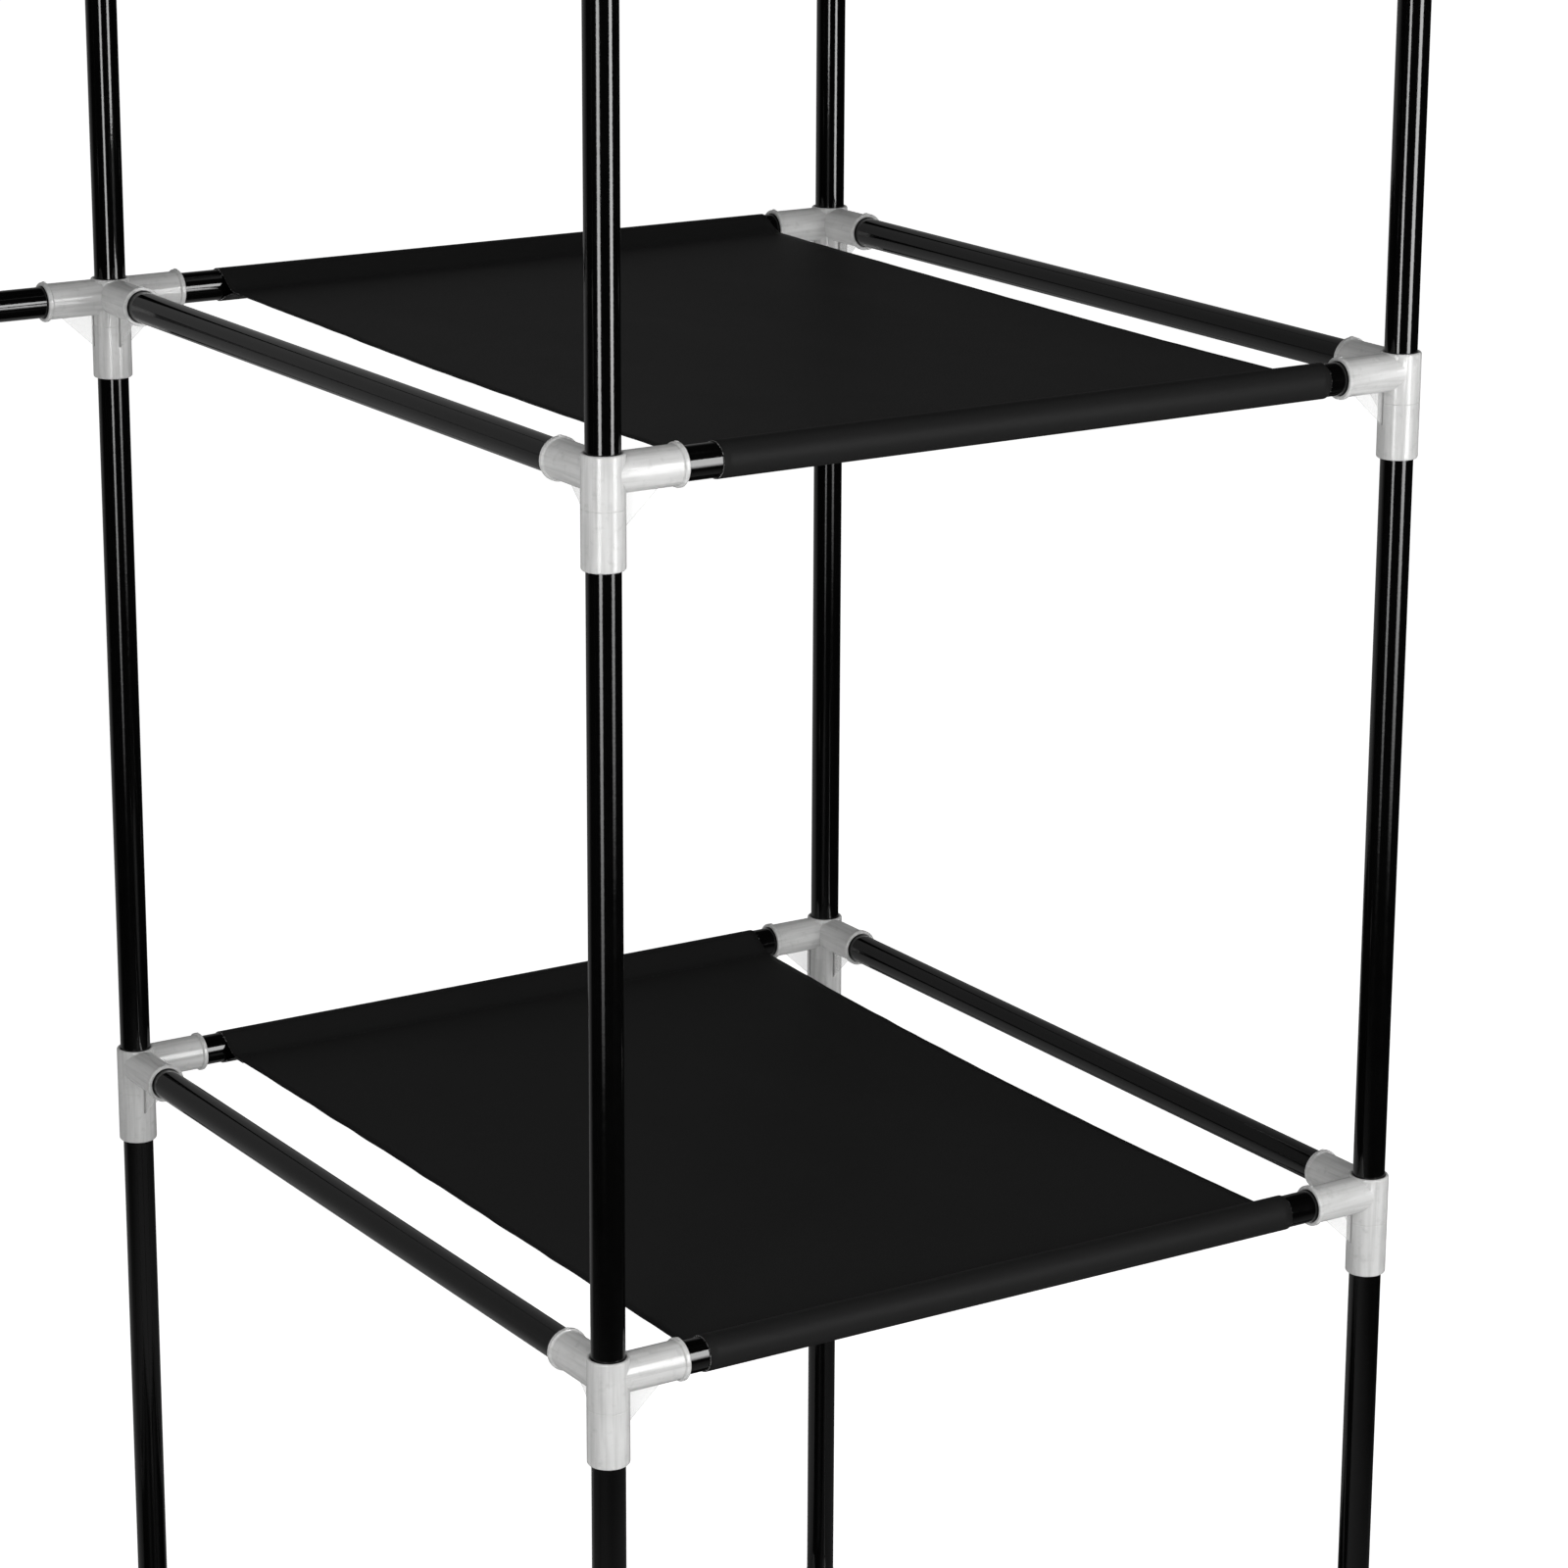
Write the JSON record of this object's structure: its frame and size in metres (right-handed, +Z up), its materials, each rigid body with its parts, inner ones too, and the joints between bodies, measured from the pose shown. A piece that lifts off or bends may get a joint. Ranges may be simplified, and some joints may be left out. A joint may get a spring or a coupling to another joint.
{
  "type": "portable fabric wardrobe",
  "caption": "Free-standing portable wardrobe frame of push-fit steel tubes in moulded plastic connectors, with taut fabric shelves and a hanging rail.",
  "frame": {"origin": "on the floor, at the middle of the wardrobe's footprint, under the middle posts", "axes": "+Z up, +X to the right as seen from the front, +Y to the back; the hanging bay is on -X and the shelves on +X"},
  "size_m": [0.8492, 0.4892, 1.6216],
  "materials": {
    "black_steel": "glossy black enamel on thin steel tube",
    "milky_plastic": "milky translucent moulded plastic, smooth",
    "black_fabric": "smooth tight black fabric with a faint satin sheen"
  },
  "bodies": {
    "root": {"hanging_rail": "black_steel", "left_back_bottom_connector": "milky_plastic", "left_back_post": "black_steel", "left_back_top_connector": "milky_plastic", "left_back_upper_connector": "milky_plastic", "left_bay_back_bottom_tube": "black_steel", "left_bay_back_top_tube": "black_steel", "left_bay_back_upper_tube": "black_steel", "left_bay_bottom_shelf": "black_fabric", "left_bay_front_bottom_tube": "black_steel", "left_bay_front_top_tube": "black_steel", "left_bottom_depth_tube": "black_steel", "left_front_bottom_connector": "milky_plastic", "left_front_post": "black_steel", "left_front_top_connector": "milky_plastic", "left_front_upper_connector": "milky_plastic", "left_rail_bracket": "milky_plastic", "left_top_depth_tube": "black_steel", "left_upper_depth_tube": "black_steel", "middle_back_bottom_connector": "milky_plastic", "middle_back_lower_connector": "milky_plastic", "middle_back_post": "black_steel", "middle_back_top_connector": "milky_plastic", "middle_back_upper_connector": "milky_plastic", "middle_bottom_depth_tube": "black_steel", "middle_front_bottom_connector": "milky_plastic", "middle_front_lower_connector": "milky_plastic", "middle_front_post": "black_steel", "middle_front_top_connector": "milky_plastic", "middle_front_upper_connector": "milky_plastic", "middle_lower_depth_tube": "black_steel", "middle_rail_bracket": "milky_plastic", "middle_top_depth_tube": "black_steel", "middle_upper_depth_tube": "black_steel", "right_back_bottom_connector": "milky_plastic", "right_back_lower_connector": "milky_plastic", "right_back_post": "black_steel", "right_back_top_connector": "milky_plastic", "right_back_upper_connector": "milky_plastic", "right_bay_back_bottom_tube": "black_steel", "right_bay_back_lower_tube": "black_steel", "right_bay_back_top_tube": "black_steel", "right_bay_back_upper_tube": "black_steel", "right_bay_bottom_shelf": "black_fabric", "right_bay_front_bottom_tube": "black_steel", "right_bay_front_lower_tube": "black_steel", "right_bay_front_top_tube": "black_steel", "right_bay_front_upper_tube": "black_steel", "right_bay_lower_shelf": "black_fabric", "right_bay_top_shelf": "black_fabric", "right_bay_upper_shelf": "black_fabric", "right_bottom_depth_tube": "black_steel", "right_front_bottom_connector": "milky_plastic", "right_front_lower_connector": "milky_plastic", "right_front_post": "black_steel", "right_front_top_connector": "milky_plastic", "right_front_upper_connector": "milky_plastic", "right_lower_depth_tube": "black_steel", "right_top_depth_tube": "black_steel", "right_upper_depth_tube": "black_steel"}
  },
  "joints": []
}
